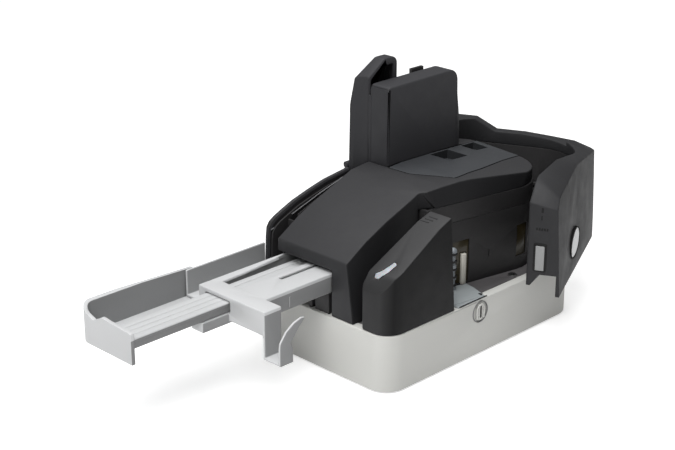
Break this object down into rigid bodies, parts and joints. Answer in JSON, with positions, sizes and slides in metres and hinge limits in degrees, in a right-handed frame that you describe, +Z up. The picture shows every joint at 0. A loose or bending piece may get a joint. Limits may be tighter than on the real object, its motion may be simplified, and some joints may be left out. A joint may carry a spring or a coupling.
{
  "type": "cheque scanner",
  "caption": "Compact desktop cheque scanner with a charcoal cover, upright feeder, hinged side cover standing open and pull-out light grey trays on a pale base.",
  "frame": {"origin": "centre of the base footprint, on the plane of the rubber feet", "axes": "+Z up, +Y towards the back of the base, +X to the right side that the hinged cover closes; the trays reach out towards -Y"},
  "size_m": [0.1607, 0.3783, 0.1798],
  "materials": {
    "base_shell": "fine satin moulding",
    "charcoal_cover": "fine matt texture",
    "charcoal_panel": "fine matt texture",
    "black_moulding": "matt moulding",
    "tray_grey": "satin moulding",
    "white_latch": "smooth",
    "pale_lens": "milky diffuser",
    "pale_button": "satin",
    "steel": "bright",
    "rubber_black": "matt",
    "rubber_grey": "matt",
    "rubber_tan": "matt",
    "cream_roller": "smooth",
    "amber_glass": "tinted",
    "board_green": "solder mask",
    "pulley_grey": "moulded",
    "exit_grey": "satin paint",
    "bright_post": "polished"
  },
  "bodies": {
    "chassis": {"base_tub": "base_shell", "bottom_plate": "steel", "bottom_screws": "steel", "rubber_feet": "rubber_black", "deck": "black_moulding", "deck_screws": "steel", "core_wall": "black_moulding", "core_band": "black_moulding", "chassis_plate": "steel", "main_cover": "charcoal_cover", "ink_cartridge": "black_moulding", "side_pod": "charcoal_cover", "status_lens": "pale_lens", "status_board": "board_green", "channel_wall": "black_moulding", "channel_guide": "black_moulding", "feed_ramp": "black_moulding", "inner_housing": "charcoal_cover", "outer_post": "charcoal_cover", "pressure_spring": "steel", "exit_pinch_post": "bright_post", "drive_belt": "rubber_black", "main_motor": "steel", "scan_glass_front": "amber_glass", "scan_glass_rear": "amber_glass", "scan_sensor_front": "black_moulding", "scan_sensor_rear": "black_moulding", "magnetic_head": "steel", "exit_floor_plate": "exit_grey", "main_board": "board_green", "power_inlet": "black_moulding", "data_socket": "steel", "switch_frame": "black_moulding", "hinge_pin": "steel", "hinge_bracket": "black_moulding", "feed_tray": "tray_grey", "tray_guide": "black_moulding", "stacker_guide": "black_moulding"},
    "track_cover": {"track_cover_shell": "charcoal_cover", "track_cover_guide": "black_moulding"},
    "track_latch": {"track_latch": "white_latch"},
    "release_button": {"release_button": "pale_button"},
    "pinch_roller_left": {"pinch_roller_left": "rubber_black"},
    "pinch_roller_right": {"pinch_roller_right": "rubber_black"},
    "access_panel": {"access_panel": "charcoal_panel"},
    "pressure_plate": {"pressure_plate": "black_moulding"},
    "pickup_roller": {"pickup_roller": "rubber_black"},
    "feed_roller": {"feed_roller": "rubber_black"},
    "separation_roller": {"separation_roller": "rubber_tan"},
    "drive_roller_left": {"drive_roller_left": "rubber_grey"},
    "drive_roller_right": {"drive_roller_right": "rubber_grey"},
    "motor_pulley": {"motor_pulley": "pulley_grey"},
    "exit_roller": {"exit_roller": "cream_roller"},
    "exit_stacker": {"exit_stacker": "tray_grey"},
    "tray_extension": {"tray_extension": "tray_grey"},
    "power_switch": {"power_switch": "black_moulding"},
    "base_knob": {"base_knob": "base_shell"}
  },
  "joints": [
    {"name": "track_cover_swing", "type": "hinge", "parent": "chassis", "child": "track_cover", "pos_m": [-0.0555, 0.078, 0.04], "axis": [0, 0, 1], "range_deg": [-25.5, 0]},
    {"name": "release_push", "type": "slide", "parent": "track_cover", "child": "release_button", "axis": [-0.9026, -0.4305, 0], "range_m": [0, 0.0018], "stiffness_N_per_m": 150, "springref_m": -0.0004},
    {"name": "latch_draw", "type": "slide", "parent": "track_cover", "child": "track_latch", "axis": [-0.4305, 0.9026, 0], "range_m": [0, 0.003]},
    {"name": "pinch_roller_left_spin", "type": "hinge", "parent": "track_cover", "child": "pinch_roller_left", "pos_m": [-0.02256, 0.10302, 0.05], "axis": [0, 0, 1], "continuous": true},
    {"name": "pinch_roller_right_spin", "type": "hinge", "parent": "track_cover", "child": "pinch_roller_right", "pos_m": [0.00452, 0.11593, 0.05], "axis": [0, 0, 1], "continuous": true},
    {"name": "panel_lift", "type": "slide", "parent": "chassis", "child": "access_panel", "axis": [0, 0, 1], "range_m": [0, 0.012]},
    {"name": "plate_press", "type": "slide", "parent": "chassis", "child": "pressure_plate", "axis": [-1, 0, 0], "range_m": [0, 0.006], "stiffness_N_per_m": 60, "springref_m": -0.002, "deforming": ["pressure_spring"]},
    {"name": "drive_roller_right_spin", "type": "hinge", "parent": "chassis", "child": "drive_roller_right", "pos_m": [0.015, 0.0746, 0.05], "axis": [0, 0, 1], "continuous": true},
    {"name": "drive_roller_left_spin", "type": "hinge", "parent": "chassis", "child": "drive_roller_left", "pos_m": [-0.015, 0.0746, 0.05], "axis": [0, 0, 1], "continuous": true},
    {"name": "feed_roller_spin", "type": "hinge", "parent": "chassis", "child": "feed_roller", "pos_m": [-0.0292, 0.05, 0.05], "axis": [0, 0, 1], "continuous": true},
    {"name": "pickup_roller_spin", "type": "hinge", "parent": "chassis", "child": "pickup_roller", "pos_m": [-0.0292, 0.024, 0.05], "axis": [0, 0, 1], "continuous": true},
    {"name": "motor_pulley_spin", "type": "hinge", "parent": "chassis", "child": "motor_pulley", "pos_m": [-0.004, 0.028, 0.05], "axis": [0, 0, 1], "continuous": true},
    {"name": "separation_roller_spin", "type": "hinge", "parent": "chassis", "child": "separation_roller", "pos_m": [-0.0442, 0.05, 0.05], "axis": [0, 0, 1], "continuous": true},
    {"name": "exit_roller_spin", "type": "hinge", "parent": "chassis", "child": "exit_roller", "pos_m": [0.03644, 0.005, 0.05], "axis": [0, 0, 1], "continuous": true},
    {"name": "stacker_slide", "type": "slide", "parent": "chassis", "child": "exit_stacker", "axis": [0, 1, 0], "range_m": [0, 0.046]},
    {"name": "extension_slide", "type": "slide", "parent": "chassis", "child": "tray_extension", "axis": [0, 1, 0], "range_m": [0, 0.047]},
    {"name": "switch_rock", "type": "hinge", "parent": "chassis", "child": "power_switch", "pos_m": [-0.02, 0.091, 0.019], "axis": [1, 0, 0], "range_deg": [0, 20]},
    {"name": "knob_turn", "type": "hinge", "parent": "chassis", "child": "base_knob", "pos_m": [0.06, -0.0063, 0.0312], "axis": [1, 0, 0], "range_deg": [0, 90]}
  ],
  "couplings": [
    {"joint": "latch_draw", "follows": "release_push", "ratio": 1.666},
    {"joint": "drive_roller_left_spin", "follows": "drive_roller_right_spin", "ratio": 1},
    {"joint": "feed_roller_spin", "follows": "drive_roller_right_spin", "ratio": 1},
    {"joint": "pickup_roller_spin", "follows": "drive_roller_right_spin", "ratio": 1},
    {"joint": "motor_pulley_spin", "follows": "drive_roller_right_spin", "ratio": 1}
  ]
}
